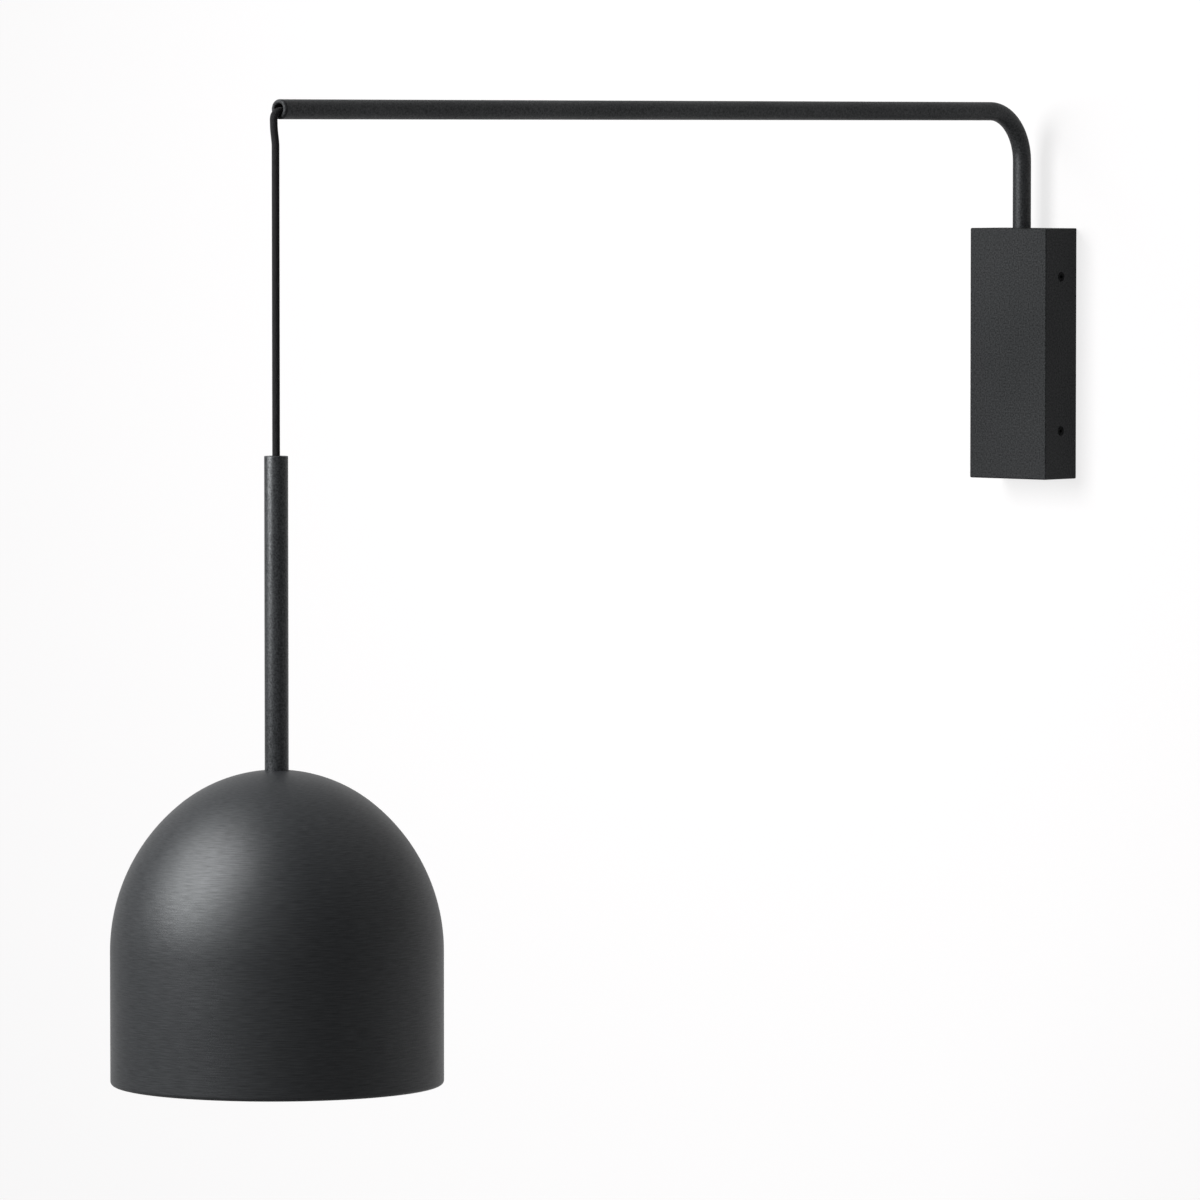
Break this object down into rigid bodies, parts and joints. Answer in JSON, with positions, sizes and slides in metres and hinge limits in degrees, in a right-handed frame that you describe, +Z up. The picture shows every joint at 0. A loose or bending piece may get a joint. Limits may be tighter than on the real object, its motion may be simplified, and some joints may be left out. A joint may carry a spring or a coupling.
{
  "type": "hanging pendant wall sconce",
  "caption": "Wall lamp with a box-mounted swivelling arm of bent tube and a bell shade that hangs from its open end on a braided cord.",
  "frame": {"origin": "middle of the wall bracket's back face, on the wall", "axes": "+Z up, +Y into the wall, so the arm stands out along -Y at rest, +X to the right seen from the room"},
  "size_m": [0.25, 1.025, 0.7369],
  "materials": {
    "black_paint": "satin, finely textured",
    "black_steel": "blackened",
    "zinc_steel": "zinc plated",
    "brass": "bare",
    "nylon": "natural",
    "block_plastic": "moulded",
    "rubber": "matt",
    "braid": "braided textile",
    "holder_plastic": "moulded",
    "ceramic": "glazed",
    "bulb_plastic": "moulded",
    "opal_glass": "opal"
  },
  "bodies": {
    "wall_box": {"wall_bracket": "zinc_steel", "wall_housing": "black_paint", "cover_screws": "black_steel", "pivot_carrier": "zinc_steel", "pivot_sleeve": "zinc_steel", "upper_bush": "nylon", "lower_bush": "nylon", "thrust_washer": "nylon", "cable_grommet": "rubber", "cord_clamp": "zinc_steel", "clamp_screws": "zinc_steel", "terminal_block": "block_plastic", "terminal_screws": "brass", "block_screws": "zinc_steel", "earth_screw": "brass", "box_cord": "braid"},
    "arm": {"arm_tube": "black_paint", "arm_collar": "zinc_steel", "collar_screw": "zinc_steel", "stop_pin": "zinc_steel", "mouth_bush": "black_paint", "arm_cord": "braid"},
    "cord_top": {"upper_cord": "braid"},
    "cord": {"hanging_cord": "braid"},
    "pendant": {"stem_tube": "black_paint", "stem_plug": "black_paint", "cord_grip": "zinc_steel", "grip_screw": "zinc_steel", "stem_cord": "braid", "stem_insert": "brass", "nipple": "zinc_steel", "shade": "black_paint", "shade_washer": "zinc_steel", "lock_nut": "zinc_steel", "lampholder_cap": "holder_plastic", "lampholder_body": "holder_plastic", "contact_block": "ceramic", "threaded_shell": "brass", "centre_contact": "brass", "bulb_base": "zinc_steel", "bulb_collar": "bulb_plastic", "bulb_globe": "opal_glass"}
  },
  "joints": [
    {"name": "arm_swivel", "type": "hinge", "parent": "wall_box", "child": "arm", "pos_m": [0, -0.022, 0], "axis": [0, 0, 1], "range_deg": [-80, 80]},
    {"name": "cord_swing", "type": "hinge", "parent": "arm", "child": "cord_top", "pos_m": [0, -0.9, 0.1648], "axis": [1, 0, 0], "range_deg": [-30, 30]},
    {"name": "cord_sway", "type": "hinge", "parent": "cord_top", "child": "cord", "pos_m": [0, -0.9, 0.1498], "axis": [0, 1, 0], "range_deg": [-25, 25]},
    {"name": "pendant_tilt", "type": "hinge", "parent": "cord", "child": "pendant", "pos_m": [0, -0.9, -0.0573], "axis": [1, 0, 0], "range_deg": [-15, 15]}
  ]
}
